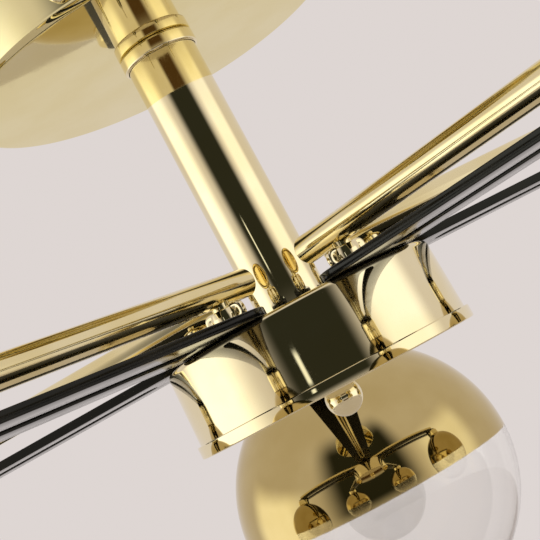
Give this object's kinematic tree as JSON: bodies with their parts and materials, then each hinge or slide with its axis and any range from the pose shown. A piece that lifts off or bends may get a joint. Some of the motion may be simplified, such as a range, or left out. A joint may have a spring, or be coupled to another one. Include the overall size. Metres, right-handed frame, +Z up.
{
  "type": "ceiling light",
  "caption": "Low ceiling light: disc canopy, short stem, drum hub, slotted black arms that swing, and a round half-mirrored glass globe below each arm's end.",
  "frame": {"origin": "centre of the cable hole in the ceiling plate, on the ceiling", "axes": "+Z up into the ceiling along the stem; the plate's two slots and the side screws lie along Y; the first arm points 105 degrees round from +X"},
  "size_m": [0.6094, 0.6249, 0.292],
  "materials": {
    "gold": "polished",
    "black_lacquer": "gloss",
    "zinc_steel": "zinc plated",
    "socket_body": "glazed",
    "insulation": "matte",
    "lamp_glass": "frosted",
    "globe_glass": "clear below, gold mirror coat on the upper half"
  },
  "bodies": {
    "frame": {"canopy_dish": "gold", "ceiling_plate": "zinc_steel", "side_screws": "gold", "stem_tube": "gold", "stem_collar": "gold", "stem_rod": "zinc_steel", "lock_nuts": "zinc_steel", "hub_shell": "gold", "hub_cover": "gold", "cover_strap": "zinc_steel", "arm_studs": "gold", "stud_nuts": "zinc_steel", "terminal_block": "insulation", "stem_cable": "insulation"},
    "cover_nut": {"ball_nut": "gold"},
    "arm_1": {"arm_bar_1": "black_lacquer", "arm_tube_1": "gold", "end_post_1": "gold", "arm_lead_1": "insulation", "globe_cup_1": "gold", "lamp_socket_1": "socket_body"},
    "clamp_nut_1": {"wing_nut_1": "gold"},
    "lamp_1": {"bulb_1": "lamp_glass"},
    "shade_1": {"globe_1": "globe_glass"},
    "arm_2": {"arm_bar_2": "black_lacquer", "arm_tube_2": "gold", "end_post_2": "gold", "arm_lead_2": "insulation", "globe_cup_2": "gold", "lamp_socket_2": "socket_body"},
    "clamp_nut_2": {"wing_nut_2": "gold"},
    "lamp_2": {"bulb_2": "lamp_glass"},
    "shade_2": {"globe_2": "globe_glass"},
    "arm_3": {"arm_bar_3": "black_lacquer", "arm_tube_3": "gold", "end_post_3": "gold", "arm_lead_3": "insulation", "globe_cup_3": "gold", "lamp_socket_3": "socket_body"},
    "clamp_nut_3": {"wing_nut_3": "gold"},
    "lamp_3": {"bulb_3": "lamp_glass"},
    "shade_3": {"globe_3": "globe_glass"},
    "arm_4": {"arm_bar_4": "black_lacquer", "arm_tube_4": "gold", "end_post_4": "gold", "arm_lead_4": "insulation", "globe_cup_4": "gold", "lamp_socket_4": "socket_body"},
    "clamp_nut_4": {"wing_nut_4": "gold"},
    "lamp_4": {"bulb_4": "lamp_glass"},
    "shade_4": {"globe_4": "globe_glass"},
    "arm_5": {"arm_bar_5": "black_lacquer", "arm_tube_5": "gold", "end_post_5": "gold", "arm_lead_5": "insulation", "globe_cup_5": "gold", "lamp_socket_5": "socket_body"},
    "clamp_nut_5": {"wing_nut_5": "gold"},
    "lamp_5": {"bulb_5": "lamp_glass"},
    "shade_5": {"globe_5": "globe_glass"}
  },
  "joints": [
    {"name": "cover_nut_turn", "type": "hinge", "parent": "frame", "child": "cover_nut", "pos_m": [0, 0, -0.159], "axis": [0, 0, 1], "range_deg": [-720, 0]},
    {"name": "arm_1_swing", "type": "hinge", "parent": "frame", "child": "arm_1", "pos_m": [-0.00932, 0.03477, -0.128], "axis": [0, 0, 1], "range_deg": [-10, 10]},
    {"name": "clamp_nut_1_turn", "type": "hinge", "parent": "frame", "child": "clamp_nut_1", "pos_m": [-0.00932, 0.03477, -0.1265], "axis": [0, 0, 1], "range_deg": [0, 120]},
    {"name": "lamp_1_unscrew", "type": "hinge", "parent": "arm_1", "child": "lamp_1", "pos_m": [-0.0647, 0.24148, -0.169], "axis": [0, 0, 1], "range_deg": [-360, 0]},
    {"name": "shade_1_turn", "type": "hinge", "parent": "arm_1", "child": "shade_1", "pos_m": [-0.0647, 0.24148, -0.217], "axis": [0, 0, 1], "range_deg": [-360, 0]},
    {"name": "arm_2_swing", "type": "hinge", "parent": "frame", "child": "arm_2", "pos_m": [-0.03595, 0.00188, -0.128], "axis": [0, 0, 1], "range_deg": [-10, 10]},
    {"name": "clamp_nut_2_turn", "type": "hinge", "parent": "frame", "child": "clamp_nut_2", "pos_m": [-0.03595, 0.00188, -0.1265], "axis": [0, 0, 1], "range_deg": [0, 120]},
    {"name": "lamp_2_unscrew", "type": "hinge", "parent": "arm_2", "child": "lamp_2", "pos_m": [-0.24966, 0.01308, -0.169], "axis": [0, 0, 1], "range_deg": [-360, 0]},
    {"name": "shade_2_turn", "type": "hinge", "parent": "arm_2", "child": "shade_2", "pos_m": [-0.24966, 0.01308, -0.217], "axis": [0, 0, 1], "range_deg": [-360, 0]},
    {"name": "arm_3_swing", "type": "hinge", "parent": "frame", "child": "arm_3", "pos_m": [-0.0129, -0.03361, -0.128], "axis": [0, 0, 1], "range_deg": [-10, 10]},
    {"name": "clamp_nut_3_turn", "type": "hinge", "parent": "frame", "child": "clamp_nut_3", "pos_m": [-0.0129, -0.03361, -0.1265], "axis": [0, 0, 1], "range_deg": [0, 120]},
    {"name": "lamp_3_unscrew", "type": "hinge", "parent": "arm_3", "child": "lamp_3", "pos_m": [-0.08959, -0.2334, -0.169], "axis": [0, 0, 1], "range_deg": [-360, 0]},
    {"name": "shade_3_turn", "type": "hinge", "parent": "arm_3", "child": "shade_3", "pos_m": [-0.08959, -0.2334, -0.217], "axis": [0, 0, 1], "range_deg": [-360, 0]},
    {"name": "arm_4_swing", "type": "hinge", "parent": "frame", "child": "arm_4", "pos_m": [0.02798, -0.02266, -0.128], "axis": [0, 0, 1], "range_deg": [-10, 10]},
    {"name": "clamp_nut_4_turn", "type": "hinge", "parent": "frame", "child": "clamp_nut_4", "pos_m": [0.02798, -0.02266, -0.1265], "axis": [0, 0, 1], "range_deg": [0, 120]},
    {"name": "lamp_4_unscrew", "type": "hinge", "parent": "arm_4", "child": "lamp_4", "pos_m": [0.19429, -0.15733, -0.169], "axis": [0, 0, 1], "range_deg": [-360, 0]},
    {"name": "shade_4_turn", "type": "hinge", "parent": "arm_4", "child": "shade_4", "pos_m": [0.19429, -0.15733, -0.217], "axis": [0, 0, 1], "range_deg": [-360, 0]},
    {"name": "arm_5_swing", "type": "hinge", "parent": "frame", "child": "arm_5", "pos_m": [0.03019, 0.01961, -0.128], "axis": [0, 0, 1], "range_deg": [-10, 10]},
    {"name": "clamp_nut_5_turn", "type": "hinge", "parent": "frame", "child": "clamp_nut_5", "pos_m": [0.03019, 0.01961, -0.1265], "axis": [0, 0, 1], "range_deg": [0, 120]},
    {"name": "lamp_5_unscrew", "type": "hinge", "parent": "arm_5", "child": "lamp_5", "pos_m": [0.20967, 0.13616, -0.169], "axis": [0, 0, 1], "range_deg": [-360, 0]},
    {"name": "shade_5_turn", "type": "hinge", "parent": "arm_5", "child": "shade_5", "pos_m": [0.20967, 0.13616, -0.217], "axis": [0, 0, 1], "range_deg": [-360, 0]}
  ]
}
